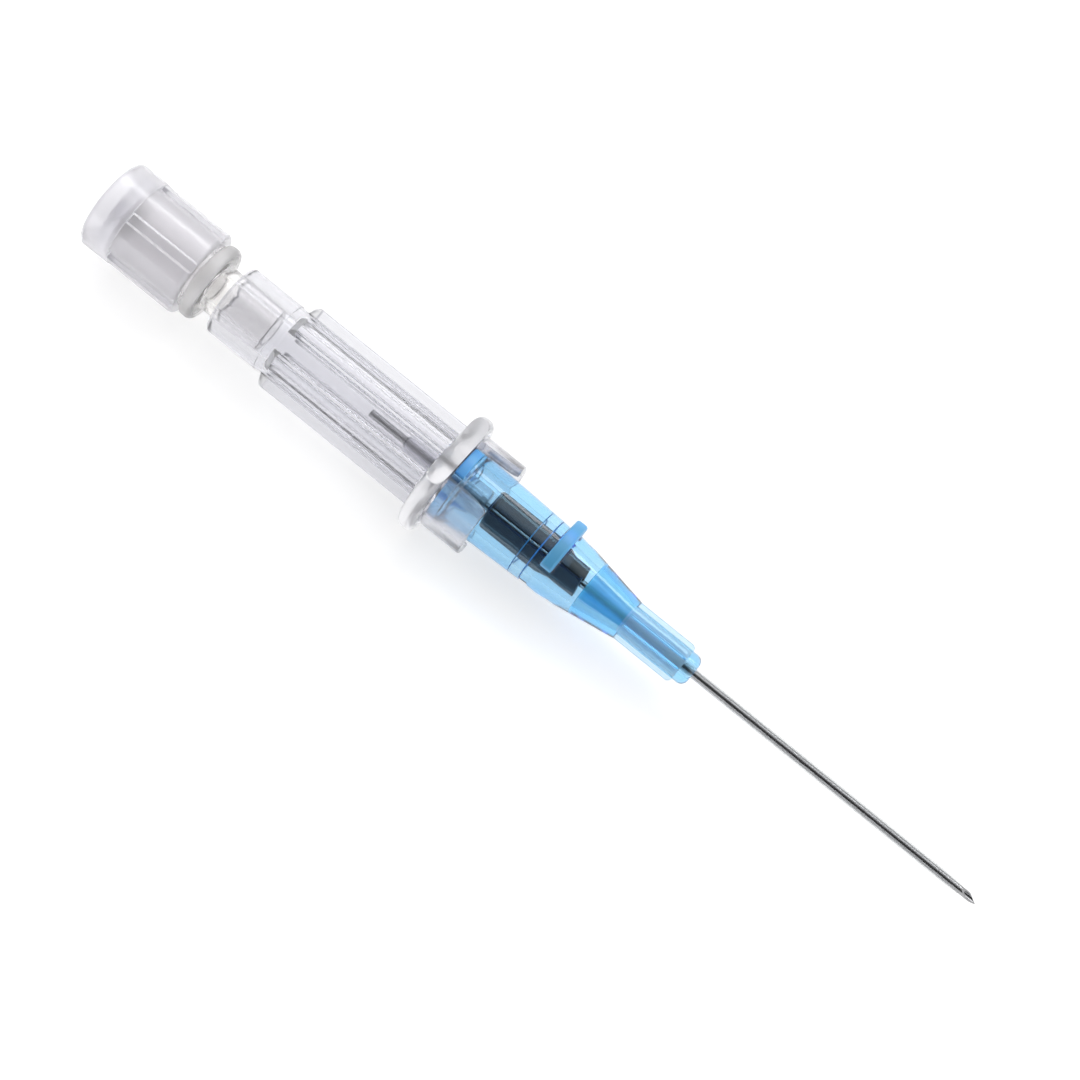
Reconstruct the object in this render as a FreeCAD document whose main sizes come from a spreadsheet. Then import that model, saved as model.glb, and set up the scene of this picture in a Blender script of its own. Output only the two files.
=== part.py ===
# Safety iv cannula: a needle in a flashback chamber, the catheter over it, a folded clip and a vent plug.
# Every piece is drawn about one axis: x runs forward from the rear face of the grip cap, in millimetres.
import FreeCAD, Part
import math
import os
import re
import Sketcher

# Driving sizes, in millimetres and degrees.
SIZES = {
    # Vent plug: ribbed grip cap, membrane and luer plug
    "grip_radius": 3.68,
    "grip_length": 8.69,
    "grip_band": 2.68,
    "grip_step": 0.06,
    "grip_wall": 0.93,
    "grip_bevel": 0.40,
    "grip_count": 6,
    "grip_groove_width": 0.79,
    "grip_groove_depth": 0.35,
    "grip_groove_slope": 0.30,
    "recess_depth": 1.20,
    "web_thickness": 0.90,
    "vent_radius": 0.60,
    "membrane_radius": 2.35,
    "membrane_thickness": 0.25,
    "collar_gap": 0.22,
    "collar_thickness": 1.15,
    "collar_drop": 0.52,
    "collar_bevel": 0.34,
    "plug_wall": 0.90,
    "neck_shown": 1.41,
    "plug_bore_radius": 1.10,
    "plug_insertion": 4.00,
    "plug_clearance": 0.02,
    # Flashback chamber, one clear moulding
    "luer_taper": 0.03,
    "socket_mouth_radius": 1.94,
    "socket_depth": 5.00,
    "socket_wall": 0.96,
    "socket_length": 4.60,
    "barrel_radius": 2.84,
    "barrel_length": 15.11,
    "cavity_radius": 1.72,
    "chamber_edge_bevel": 0.25,
    "rib_count": 6,
    "rib_setback": 0.71,
    "rib_width": 1.42,
    "rib_drop": 0.05,
    "rib_nose_share": 0.62,
    "rib_edge_bevel": 0.18,
    "flange_radius": 5.03,
    "flange_thickness": 1.46,
    "flange_bevel": 0.28,
    "flange_wall": 1.24,
    "boss_radius": 1.18,
    "boss_length": 2.97,
    "well_radius": 0.45,
    "boss_bevel": 0.32,
    "stem_length": 3.04,
    "stem_bevel": 0.30,
    "tongue_length": 3.65,
    "tongue_outer_radius": 4.02,
    "tongue_angle": 120.0,
    "tongue_round": 0.45,
    # Needle, a bevelled steel tube
    "needle_radius": 0.305,
    "needle_bore_radius": 0.195,
    "needle_rear_reach": 3.57,
    "needle_shown": 1.44,
    "bevel_length": 1.45,
    "lancet_length": 0.72,
    "tip_land": 0.015,
    "adhesive_radius": 0.62,
    "adhesive_height": 0.30,
    # Catheter hub, one translucent moulding
    "hub_gap": 0.06,
    "rim_radius": 3.22,
    "rim_length": 1.05,
    "rim_clearance": 0.06,
    "hub_rear_radius": 2.93,
    "hub_waist_radius": 2.66,
    "hub_mouth_radius": 2.135,
    "luer_depth": 7.07,
    "catch_width": 1.09,
    "catch_depth": 0.14,
    "ear_radius": 3.56,
    "ear_angle": 46.0,
    "ear_thickness": 0.80,
    "ear_round": 0.22,
    "tab_setback": 8.92,
    "tab_thickness": 0.96,
    "tab_radius": 3.66,
    "tab_angle": 94.0,
    "tab_round": 0.42,
    "notch_width": 0.73,
    "notch_depth": 0.16,
    "notch_angle": 150.0,
    "shoulder_length": 1.40,
    "shoulder_radius": 2.52,
    "shoulder_round": 6.0,
    "cone_length": 4.95,
    "throat_radius": 1.68,
    "chest_length": 4.20,
    "chest_end_radius": 1.62,
    "funnel_radius": 1.15,
    "funnel_length": 3.60,
    "fin_count": 6,
    "fin_length": 5.14,
    "fin_width": 0.62,
    "fin_crest_radius": 1.64,
    "fin_round": 0.33,
    "nose_radius": 1.27,
    "nose_length": 1.01,
    "nose_bevel": 0.50,
    # Catheter tube and the ferrule that holds it
    "tube_radius": 0.40,
    "tube_clearance": 0.02,
    "tube_shown": 24.62,
    "tube_tip_length": 1.60,
    "tube_tip_radius": 0.35,
    "ferrule_radius": 0.76,
    "ferrule_length": 1.52,
    # Safety clip, one folded strip
    "clip_gap": 0.37,
    "clip_thickness": 0.16,
    "clip_height": 2.70,
    "clip_half_width": 1.04,
    "clip_length": 8.45,
    "clip_ramp": 1.00,
    "clip_lip_run": 6.10,
    "clip_lip": 0.52,
    "clip_hook_run": 5.40,
    "clip_hook_half_width": 0.76,
    "clip_hook_reach": 0.37,
    "clip_hole_clearance": 0.03,
    "clip_bend": 0.30,
}

# Stations along the axis, each a formula of the sizes above
SPIGOT_REAR = "(recess_depth + web_thickness + membrane_thickness)"
COLLAR_REAR = "(grip_length + collar_gap)"
COLLAR_FRONT = f"({COLLAR_REAR} + collar_thickness)"
CHAMBER_REAR = f"({COLLAR_FRONT} + neck_shown)"
SOCKET_END = f"({CHAMBER_REAR} + socket_depth)"
BARREL_REAR = f"({CHAMBER_REAR} + socket_length)"
FLANGE_REAR = f"({BARREL_REAR} + barrel_length)"
FLANGE_FRONT = f"({FLANGE_REAR} + flange_thickness)"
CAVITY_FRONT = f"({FLANGE_FRONT} - flange_wall)"
BOSS_REAR = f"({CAVITY_FRONT} - boss_length)"
STEM_FRONT = f"({FLANGE_FRONT} + stem_length)"
HUB_REAR = f"({FLANGE_FRONT} + hub_gap)"
LUER_FRONT = f"({HUB_REAR} + luer_depth)"
CATCH_FRONT = f"({LUER_FRONT} + catch_width)"
TAB_REAR = f"({HUB_REAR} + tab_setback)"
TAB_FRONT = f"({TAB_REAR} + tab_thickness)"
SHOULDER = f"({TAB_FRONT} + shoulder_length)"
FIN_REAR = f"({SHOULDER} + cone_length)"
FIN_FRONT = f"({FIN_REAR} + fin_length)"
NOSE_FRONT = f"({FIN_FRONT} + nose_length)"
CHEST_FRONT = f"({CATCH_FRONT} + chest_length)"
FUNNEL_FRONT = f"({CHEST_FRONT} + funnel_length)"
FERRULE_FRONT = f"({FIN_FRONT})"
FERRULE_REAR = f"({FERRULE_FRONT} - ferrule_length)"
TUBE_FRONT = f"({NOSE_FRONT} + tube_shown)"
NEEDLE_REAR = f"({BOSS_REAR} - needle_rear_reach)"
NEEDLE_TIP = f"({TUBE_FRONT} + needle_shown)"
CLIP_REAR = f"({STEM_FRONT} + clip_gap)"
CLIP_FRONT = f"({CLIP_REAR} + clip_length)"
PLUG_FRONT = f"({CHAMBER_REAR} + plug_insertion)"

# Radii that follow from others
SPIGOT_RADIUS = "(grip_radius - grip_wall)"
COLLAR_RADIUS = "(grip_radius - collar_drop)"
SOCKET_RADIUS = "(socket_mouth_radius + socket_wall)"
SOCKET_END_RADIUS = "(socket_mouth_radius - socket_depth * luer_taper)"
NECK_RADIUS = "(socket_mouth_radius - plug_clearance)"
TONGUE_INNER = "(rim_radius + rim_clearance)"
LUER_END_RADIUS = "(hub_mouth_radius - luer_depth * luer_taper)"
TUBE_BORE = "(needle_radius + tube_clearance)"

WORD = re.compile(r"[a-z][a-z_]*")
CLOSE = 1e-4
PAIR = 2
ROUND = "Fillet"
BEVEL = "Chamfer"

doc = FreeCAD.newDocument("iv_cannula")
sheet = doc.addObject("Spreadsheet::Sheet", "sheet")
for row, (alias, size) in enumerate(SIZES.items(), start=1):
    sheet.set(f"A{row}", alias)
    sheet.set(f"B{row}", str(size))
    sheet.setAlias(f"B{row}", alias)
doc.recompute()


def formula(text):
    """Expression text in which every size is read from the sheet."""
    return WORD.sub(lambda found: f"sheet.{found.group()}" if found.group() in SIZES else found.group(), text)


def value(text):
    """Number that a formula of the sizes gives, worked out by the document."""
    return float(sheet.evalExpression(formula(text)))


def new_body(label):
    """Empty body whose own origin lies on the axis at the cap's rear face."""
    body = doc.addObject("PartDesign::Body", label)
    body.Label = label
    body.setExpression("Placement.Base.x", formula(f"-{NEEDLE_TIP} / 2"))
    body.setExpression("Placement.Base.z", formula("grip_radius"))
    return body


def origin_item(body, role):
    """The body's own origin plane or axis with that role."""
    for item in body.Origin.OriginFeatures:
        if item.Role == role:
            return item
    raise ValueError(role)


def new_sketch(body, name, plane, turn=0.0):
    """Sketch on a plane of the body, turned about its own x axis."""
    sketch = body.newObject("Sketcher::SketchObject", name)
    sketch.AttachmentSupport = [(origin_item(body, plane), "")]
    sketch.MapMode = "FlatFace"
    if turn:
        sketch.AttachmentOffset = FreeCAD.Placement(
            FreeCAD.Vector(), FreeCAD.Rotation(FreeCAD.Vector(1, 0, 0), turn)
        )
    return sketch


def outline(sketch, corners):
    """Closed outline through corners, each held by two sizes measured from the sketch's origin."""
    first = sketch.GeometryCount
    points = [FreeCAD.Vector(value(across), value(up), 0) for across, up in corners]
    last = len(points) - 1
    for i, point in enumerate(points):
        sketch.addGeometry(Part.LineSegment(point, points[(i + 1) % len(points)]), False)
    for i in range(len(points)):
        following = 0 if i == last else i + 1
        sketch.addConstraint(Sketcher.Constraint("Coincident", first + i, 2, first + following, 1))
    for i, (across, up) in enumerate(corners):
        for kind, text, size in (("DistanceX", across, points[i].x), ("DistanceY", up, points[i].y)):
            held = sketch.addConstraint(Sketcher.Constraint(kind, -1, 1, first + i, 1, size))
            sketch.setExpression(f"Constraints[{held}]", formula(text))


def turned(body, name, corners, plane="XZ_Plane", angle=None, cut=False):
    """Profile turned about the axis, whole or as a sector centred on the sketch's plane."""
    sketch = new_sketch(body, f"{name}_profile", plane)
    outline(sketch, corners)
    kind = "PartDesign::Groove" if cut else "PartDesign::Revolution"
    feature = body.newObject(kind, name)
    feature.Profile = sketch
    feature.ReferenceAxis = (sketch, ["H_Axis"])
    if angle:
        feature.setExpression("Angle", formula(angle))
        feature.Midplane = True
    else:
        feature.Angle = 360.0
    doc.recompute()
    return feature


def slab(body, name, corners, thickness, plane="XZ_Plane", turn=0.0, cut=False):
    """Outline given a thickness, half to each side of its plane."""
    sketch = new_sketch(body, f"{name}_outline", plane, turn)
    outline(sketch, corners)
    kind = "PartDesign::Pocket" if cut else "PartDesign::Pad"
    feature = body.newObject(kind, name)
    feature.Profile = sketch
    feature.Midplane = True
    feature.setExpression("Length", formula(thickness))
    doc.recompute()
    return feature


def around(body, name, feature, count):
    """Copies of a feature spaced evenly about the axis."""
    pattern = body.newObject("PartDesign::PolarPattern", name)
    pattern.Originals = [feature]
    pattern.Axis = (origin_item(body, "X_Axis"), [""])
    pattern.Angle = 360.0
    if isinstance(count, str):
        pattern.setExpression("Occurrences", formula(count))
    else:
        pattern.Occurrences = count
    body.Tip = pattern
    doc.recompute()
    return pattern


def pick(feature, test):
    """Names of the feature's edges for which the test holds."""
    found = [f"Edge{i}" for i, edge in enumerate(feature.Shape.Edges, start=1) if test(edge)]
    if not found:
        raise ValueError(f"no edge found on {feature.Name}")
    return found


def dressed(body, name, feature, test, size, kind=ROUND):
    """Round or bevel of one size on the edges that the test finds."""
    dressing = body.newObject(f"PartDesign::{kind}", name)
    dressing.Base = (feature, pick(feature, test))
    dressing.setExpression("Radius" if kind == ROUND else "Size", formula(size))
    body.Tip = dressing
    doc.recompute()
    return dressing


def ring(station, radius):
    """Test for an edge that runs round the axis at a station and a radius."""
    def test(edge):
        return all(
            abs(v.Point.x - value(station)) < CLOSE
            and abs(math.hypot(v.Point.y, v.Point.z) - value(radius)) < CLOSE
            for v in edge.Vertexes
        ) and edge.BoundBox.XLength < CLOSE
    return test


def along(start_beyond, radius_from, radius_to):
    """Test for a straight edge along the axis between two distances from it."""
    def test(edge):
        reach = edge.BoundBox
        ends = [math.hypot(v.Point.y, v.Point.z) for v in edge.Vertexes]
        straight = reach.YLength < CLOSE and reach.ZLength < CLOSE and reach.XLength > CLOSE
        return straight and reach.XMin > value(start_beyond) - CLOSE and all(
            value(radius_from) < r < value(radius_to) for r in ends
        )
    return test


# Grip cap: a cup with a vented web, a smooth band and six raised panels
def make_grip_cap():
    body = new_body("grip_cap")
    web_front = "(recess_depth + web_thickness)"
    panel = "(grip_radius - grip_step)"
    shell = turned(body, "cap_shell", [
        ("0", SPIGOT_RADIUS),
        ("0", "grip_radius"),
        ("grip_band", "grip_radius"),
        ("grip_band", panel),
        ("grip_length - grip_groove_slope", panel),
        ("grip_length", f"{panel} - grip_groove_slope"),
        ("grip_length", SPIGOT_RADIUS),
        (web_front, SPIGOT_RADIUS),
        (web_front, "vent_radius"),
        ("recess_depth", "vent_radius"),
        ("recess_depth", SPIGOT_RADIUS),
    ])
    dressed(body, "cap_rear_bevel", shell, ring("0", "grip_radius"), "grip_bevel", BEVEL)
    floor = "(grip_radius - grip_step - grip_groove_depth)"
    groove = slab(body, "grip_groove", [
        ("grip_band", floor),
        ("2 * grip_length", floor),
        ("2 * grip_length", "2 * grip_radius"),
        ("grip_band", "2 * grip_radius"),
    ], "grip_groove_width", turn=180.0 / SIZES["grip_count"], cut=True)
    around(body, "grip_grooves", groove, "grip_count")
    return body


# Vent membrane: a thin porous disc seated on the web
def make_vent_membrane():
    body = new_body("vent_membrane")
    web_front = "(recess_depth + web_thickness)"
    turned(body, "disc", [
        (web_front, "0"),
        (web_front, "membrane_radius"),
        (SPIGOT_REAR, "membrane_radius"),
        (SPIGOT_REAR, "0"),
    ])
    return body


# Luer plug: spigot pressed into the cap, rounded collar and tapered neck
def make_luer_plug():
    body = new_body("luer_plug")
    spigot_bore = f"({SPIGOT_RADIUS} - plug_wall)"
    plug = turned(body, "plug_turning", [
        (SPIGOT_REAR, spigot_bore),
        (SPIGOT_REAR, SPIGOT_RADIUS),
        (COLLAR_REAR, SPIGOT_RADIUS),
        (COLLAR_REAR, COLLAR_RADIUS),
        (COLLAR_FRONT, COLLAR_RADIUS),
        (COLLAR_FRONT, f"{NECK_RADIUS} + neck_shown * luer_taper"),
        (PLUG_FRONT, f"{NECK_RADIUS} - plug_insertion * luer_taper"),
        (PLUG_FRONT, "plug_bore_radius"),
        (COLLAR_REAR, "plug_bore_radius"),
        (COLLAR_REAR, spigot_bore),
    ])
    rear, front = ring(COLLAR_REAR, COLLAR_RADIUS), ring(COLLAR_FRONT, COLLAR_RADIUS)
    dressed(body, "collar_bevel", plug, lambda edge: rear(edge) or front(edge), "collar_bevel", BEVEL)
    return body


# Flashback chamber: socket, ribbed barrel, flange with two flats, needle boss, stem and two tongues
def make_flashback_chamber():
    body = new_body("flashback_chamber")
    crest = "(grip_radius - rib_drop)"
    rib_rear = f"({BARREL_REAR} + rib_setback)"
    turning = turned(body, "chamber_turning", [
        (CHAMBER_REAR, "socket_mouth_radius"),
        (CHAMBER_REAR, SOCKET_RADIUS),
        (BARREL_REAR, SOCKET_RADIUS),
        (BARREL_REAR, "barrel_radius"),
        (FLANGE_REAR, "barrel_radius"),
        (FLANGE_REAR, "flange_radius"),
        (FLANGE_FRONT, "flange_radius"),
        (FLANGE_FRONT, "boss_radius"),
        (STEM_FRONT, "boss_radius"),
        (STEM_FRONT, "needle_radius"),
        (FLANGE_FRONT, "needle_radius"),
        (FLANGE_FRONT, "well_radius"),
        (BOSS_REAR, "well_radius"),
        (BOSS_REAR, "boss_radius"),
        (CAVITY_FRONT, "boss_radius"),
        (CAVITY_FRONT, "cavity_radius"),
        (SOCKET_END, "cavity_radius"),
        (SOCKET_END, SOCKET_END_RADIUS),
    ])
    rear, front = ring(FLANGE_REAR, "flange_radius"), ring(FLANGE_FRONT, "flange_radius")
    rim = dressed(body, "flange_rim_bevel", turning, lambda edge: rear(edge) or front(edge), "flange_bevel", BEVEL)
    mouth = dressed(body, "chamber_rear_bevel", rim, ring(CHAMBER_REAR, SOCKET_RADIUS),
                    "chamber_edge_bevel", BEVEL)
    boss = dressed(body, "boss_rear_bevel", mouth, ring(BOSS_REAR, "boss_radius"), "boss_bevel", BEVEL)
    dressed(body, "stem_front_bevel", boss, ring(STEM_FRONT, "boss_radius"), "stem_bevel", BEVEL)
    rib = slab(body, "rib", [
        (rib_rear, "barrel_radius - socket_wall / 2"),
        (rib_rear, crest),
        (FLANGE_REAR, crest),
        (FLANGE_REAR, "barrel_radius - socket_wall / 2"),
    ], "rib_width")
    ribs = around(body, "ribs", rib, "rib_count")
    corner = f"sqrt({crest}^2 + (rib_width / 2)^2)"
    nose_round = f"rib_nose_share * ({crest} - barrel_radius)"
    nose = dressed(body, "rib_nose_round", ribs, ring(rib_rear, corner), nose_round)
    long_edge = along(rib_rear, f"{crest}", f"({corner} + rib_drop)")
    dressed(body, "rib_crest_bevel", nose, long_edge, "rib_edge_bevel", BEVEL)
    tongue_front = f"({FLANGE_FRONT} + tongue_length)"
    tongue = turned(body, "tongue", [
        (f"{FLANGE_FRONT} - flange_thickness / 2", TONGUE_INNER),
        (f"{FLANGE_FRONT} - flange_thickness / 2", "tongue_outer_radius"),
        (tongue_front, "tongue_outer_radius"),
        (tongue_front, TONGUE_INNER),
    ], plane="XY_Plane", angle="tongue_angle")
    tongues = around(body, "tongues", tongue, PAIR)

    def tongue_corner(edge):
        ends = sorted(math.hypot(v.Point.y, v.Point.z) for v in edge.Vertexes)
        at_front = abs(edge.BoundBox.XMin - value(tongue_front)) < CLOSE and edge.BoundBox.XLength < CLOSE
        return at_front and len(ends) == 2 and ends[1] - ends[0] > CLOSE

    dressed(body, "tongue_corner_round", tongues, tongue_corner, "tongue_round")
    flat = slab(body, "flange_flat", [
        (f"{FLANGE_REAR} - flange_bevel", "grip_radius"),
        (f"{FLANGE_FRONT} + flange_bevel", "grip_radius"),
        (f"{FLANGE_FRONT} + flange_bevel", "2 * flange_radius"),
        (f"{FLANGE_REAR} - flange_bevel", "2 * flange_radius"),
    ], "4 * flange_radius", cut=True)
    around(body, "flange_flats", flat, PAIR)
    return body


# Needle: steel tube with a long bevel that faces up and two side grinds at its point
def make_needle():
    body = new_body("needle")
    turned(body, "needle_tube", [
        (NEEDLE_REAR, "needle_bore_radius"),
        (NEEDLE_REAR, "needle_radius"),
        (NEEDLE_TIP, "needle_radius"),
        (NEEDLE_TIP, "needle_bore_radius"),
    ])
    slab(body, "bevel", [
        (f"{NEEDLE_TIP} - bevel_length", "needle_radius"),
        (NEEDLE_TIP, "tip_land - needle_radius"),
        (f"{NEEDLE_TIP} + bevel_length", "tip_land - needle_radius"),
        (f"{NEEDLE_TIP} + bevel_length", "2 * needle_radius"),
        (f"{NEEDLE_TIP} - bevel_length", "2 * needle_radius"),
    ], "4 * needle_radius", cut=True)
    grind = slab(body, "side_grind", [
        (f"{NEEDLE_TIP} - lancet_length", "needle_radius"),
        (NEEDLE_TIP, "tip_land"),
        (f"{NEEDLE_TIP} + lancet_length", "tip_land"),
        (f"{NEEDLE_TIP} + lancet_length", "2 * needle_radius"),
        (f"{NEEDLE_TIP} - lancet_length", "2 * needle_radius"),
    ], "4 * needle_radius", plane="XY_Plane", cut=True)
    around(body, "side_grinds", grind, PAIR)
    return body


# Needle adhesive: a small bead where the needle leaves the boss
def make_needle_adhesive():
    body = new_body("needle_adhesive")
    turned(body, "bead", [
        (f"{BOSS_REAR} - adhesive_height", "needle_radius"),
        (BOSS_REAR, "adhesive_radius"),
        (BOSS_REAR, "needle_radius"),
    ])
    return body


# Catheter hub: luer mouth with two ears, push-off tab, cone and a nose with six fins
def make_catheter_hub():
    body = new_body("catheter_hub")
    rim_front = f"({HUB_REAR} + rim_length)"
    catch_radius = f"({LUER_END_RADIUS} + catch_depth)"
    turning = turned(body, "hub_turning", [
        (HUB_REAR, "hub_mouth_radius"),
        (HUB_REAR, "rim_radius"),
        (rim_front, "rim_radius"),
        (rim_front, "hub_rear_radius"),
        (TAB_REAR, "hub_waist_radius"),
        (SHOULDER, "shoulder_radius"),
        (FIN_REAR, "throat_radius"),
        (FIN_REAR, "nose_radius"),
        (NOSE_FRONT, "nose_radius"),
        (NOSE_FRONT, "tube_radius"),
        (FERRULE_FRONT, "tube_radius"),
        (FERRULE_FRONT, "ferrule_radius"),
        (FUNNEL_FRONT, "ferrule_radius"),
        (CHEST_FRONT, "funnel_radius"),
        (CHEST_FRONT, "chest_end_radius"),
        (CATCH_FRONT, LUER_END_RADIUS),
        (CATCH_FRONT, catch_radius),
        (LUER_FRONT, catch_radius),
        (LUER_FRONT, LUER_END_RADIUS),
    ])
    cone = dressed(body, "shoulder_blend", turning, ring(SHOULDER, "shoulder_radius"), "shoulder_round")
    dressed(body, "nose_bevel", cone, ring(NOSE_FRONT, "nose_radius"), "nose_bevel", BEVEL)
    ear_front = f"({HUB_REAR} + ear_thickness)"
    ear_root = "(rim_radius + hub_mouth_radius) / 2"
    ear = turned(body, "ear", [
        (HUB_REAR, ear_root),
        (HUB_REAR, "ear_radius"),
        (ear_front, "ear_radius"),
        (ear_front, ear_root),
    ], angle="ear_angle")
    ears = around(body, "ears", ear, PAIR)
    ear_edges = along(HUB_REAR, "(ear_radius - rim_clearance)", "(ear_radius + rim_clearance)")
    dressed(body, "ear_round", ears, ear_edges, "ear_round")
    tab_root = "(hub_waist_radius - notch_depth)"
    tab = turned(body, "push_off_tab", [
        (TAB_REAR, tab_root),
        (TAB_REAR, "tab_radius"),
        (TAB_FRONT, "tab_radius"),
        (TAB_FRONT, tab_root),
    ], angle="tab_angle")
    tab_edges = along(TAB_REAR, "(tab_radius - rim_clearance)", "(tab_radius + rim_clearance)")
    dressed(body, "tab_corner_round", tab, tab_edges, "tab_round")
    turned(body, "underside_notch", [
        (f"{TAB_REAR} - notch_width", "notch_depth - hub_waist_radius"),
        (TAB_REAR, "notch_depth - hub_waist_radius"),
        (TAB_REAR, "-2 * hub_waist_radius"),
        (f"{TAB_REAR} - notch_width", "-2 * hub_waist_radius"),
    ], angle="notch_angle", cut=True)
    fin_root = "(nose_radius + ferrule_radius) / 2"
    fin = slab(body, "fin", [
        (FIN_REAR, fin_root),
        (FIN_REAR, "fin_crest_radius"),
        (FIN_FRONT, "fin_crest_radius"),
        (FIN_FRONT, fin_root),
    ], "fin_width")
    fins = around(body, "fins", fin, "fin_count")
    corner = "sqrt(fin_crest_radius^2 + (fin_width / 2)^2)"
    dressed(body, "fin_front_round", fins, ring(FIN_FRONT, corner), "fin_round")
    return body


# Tube ferrule: a ring bonded round the tube's rear end, seated in the nose
def make_tube_ferrule():
    body = new_body("tube_ferrule")
    turned(body, "ferrule_ring", [
        (FERRULE_REAR, "tube_radius"),
        (FERRULE_REAR, "ferrule_radius"),
        (FERRULE_FRONT, "ferrule_radius"),
        (FERRULE_FRONT, "tube_radius"),
    ])
    return body


# Catheter tube: thin flexible wall over the needle, tapered at its tip
def make_catheter_tube():
    body = new_body("catheter_tube")
    turned(body, "tube_wall", [
        (FERRULE_REAR, TUBE_BORE),
        (FERRULE_REAR, "tube_radius"),
        (f"{TUBE_FRONT} - tube_tip_length", "tube_radius"),
        (TUBE_FRONT, "tube_tip_radius"),
        (TUBE_FRONT, TUBE_BORE),
    ])
    return body


# Safety clip: one strip folded into a rear wall and two arms, one ending in a lip and one in a hook
def make_safety_clip():
    body = new_body("safety_clip")
    lip_ramp = f"({CLIP_REAR} + clip_lip_run)"
    lip = f"({CLIP_REAR} + clip_lip_run + clip_ramp)"
    hook_ramp = f"({CLIP_REAR} + clip_hook_run)"
    hook = f"({CLIP_REAR} + clip_hook_run + clip_ramp)"
    hook_rear = f"({CLIP_FRONT} - clip_thickness)"
    wall = f"({CLIP_REAR} + clip_thickness)"
    strip = slab(body, "folded_strip", [
        (CLIP_REAR, "clip_half_width"),
        (lip_ramp, "clip_half_width"),
        (lip, "clip_lip"),
        (CLIP_FRONT, "clip_lip"),
        (CLIP_FRONT, "(clip_lip - clip_thickness)"),
        (lip, "(clip_lip - clip_thickness)"),
        (lip_ramp, "(clip_half_width - clip_thickness)"),
        (wall, "(clip_half_width - clip_thickness)"),
        (wall, "-(clip_half_width - clip_thickness)"),
        (hook_ramp, "-(clip_half_width - clip_thickness)"),
        (hook, "-(clip_hook_half_width - clip_thickness)"),
        (hook_rear, "-(clip_hook_half_width - clip_thickness)"),
        (hook_rear, "-clip_hook_reach"),
        (CLIP_FRONT, "-clip_hook_reach"),
        (CLIP_FRONT, "-clip_hook_half_width"),
        (hook, "-clip_hook_half_width"),
        (hook_ramp, "-clip_half_width"),
        (CLIP_REAR, "-clip_half_width"),
    ], "clip_height", plane="XY_Plane")

    def fold(edge, station, half_width):
        reach = edge.BoundBox
        upright = reach.XLength < CLOSE and reach.YLength < CLOSE
        return (upright and abs(reach.XMin - value(station)) < CLOSE
                and abs(abs(reach.YMin) - value(half_width)) < CLOSE)

    outer = dressed(body, "outer_fold", strip, lambda e: fold(e, CLIP_REAR, "clip_half_width"), "clip_bend")
    dressed(body, "inner_fold", outer, lambda e: fold(e, wall, "(clip_half_width - clip_thickness)"),
            "clip_bend - clip_thickness")
    turned(body, "needle_hole", [
        (f"{CLIP_REAR} - clip_thickness", "0"),
        (f"{CLIP_REAR} - clip_thickness", "needle_radius + clip_hole_clearance"),
        (f"{wall} + clip_thickness", "needle_radius + clip_hole_clearance"),
        (f"{wall} + clip_thickness", "0"),
    ], cut=True)
    return body


MAKERS = (
    make_grip_cap, make_vent_membrane, make_luer_plug, make_flashback_chamber, make_needle,
    make_needle_adhesive, make_catheter_hub, make_tube_ferrule, make_catheter_tube, make_safety_clip,
)

bodies = [maker() for maker in MAKERS]
doc.recompute()

failed = [item.Name for item in doc.Objects if "Invalid" in item.State or "Error" in item.State]
for body in bodies:
    if body.Shape.isNull() or not body.Shape.isValid() or len(body.Shape.Solids) != 1:
        failed.append(body.Label)
if failed:
    raise RuntimeError(f"failed: {failed}")

os.makedirs("parts", exist_ok=True)
for body in bodies:
    body.Shape.exportStep(f"parts/{body.Label}.step")
    box = body.Shape.BoundBox
    print(f"{body.Label}: {body.Shape.Volume:.3f} mm3, x {box.XMin:.2f} to {box.XMax:.2f}, "
          f"y {box.YMin:.2f} to {box.YMax:.2f}, z {box.ZMin:.2f} to {box.ZMax:.2f}")
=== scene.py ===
"""Looks of a safety iv cannula: clear vent plug and chamber, blue hub, steel needle and folded clip.

Every moulding is a surface about one axis, drawn as rows of points. Sizes are in millimetres and angles
in degrees. Stations are measured forward from the grip cap's rear face, and the axis lies as high above
the floor as the cap's radius.
"""
import logging
import math
from dataclasses import dataclass
from enum import Enum
from typing import Any, Callable, Iterable, Optional, Union

import bmesh
import bpy
import numpy as np
from mathutils import Matrix, Vector


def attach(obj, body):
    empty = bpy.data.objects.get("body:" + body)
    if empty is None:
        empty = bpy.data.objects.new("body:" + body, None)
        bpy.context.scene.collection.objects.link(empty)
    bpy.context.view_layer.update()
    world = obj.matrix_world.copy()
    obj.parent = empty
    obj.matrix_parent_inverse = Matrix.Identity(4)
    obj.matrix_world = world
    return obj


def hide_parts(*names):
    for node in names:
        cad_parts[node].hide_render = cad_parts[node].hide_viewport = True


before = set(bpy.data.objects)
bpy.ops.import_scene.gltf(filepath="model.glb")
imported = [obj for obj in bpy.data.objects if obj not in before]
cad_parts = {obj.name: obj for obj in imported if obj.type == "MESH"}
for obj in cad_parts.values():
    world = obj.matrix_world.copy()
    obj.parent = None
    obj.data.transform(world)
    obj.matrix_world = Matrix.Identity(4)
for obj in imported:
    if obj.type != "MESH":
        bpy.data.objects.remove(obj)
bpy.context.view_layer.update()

LOG = logging.getLogger("iv_cannula")
MM = 0.001
FULL_TURN = 360.0
# Keeps a divisor off zero
TINY = 1e-6
# Points closer than this become one point, in millimetres
MERGE = 1e-3
# Edges shorter than this are left out, in millimetres
SLIVER = 1e-4
# Smallest step between two rows, in millimetres
HAIR = 0.02
# How far a zone reaches past the faces that it holds, in millimetres
ZONE_MARGIN = 0.1
# A bar is seen from the axis this many degrees to each side of its centre line
BAR_SIGHT = 80.0
# Surfaces that light may cross on its way through the clear pieces
BOUNCES = 20
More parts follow.
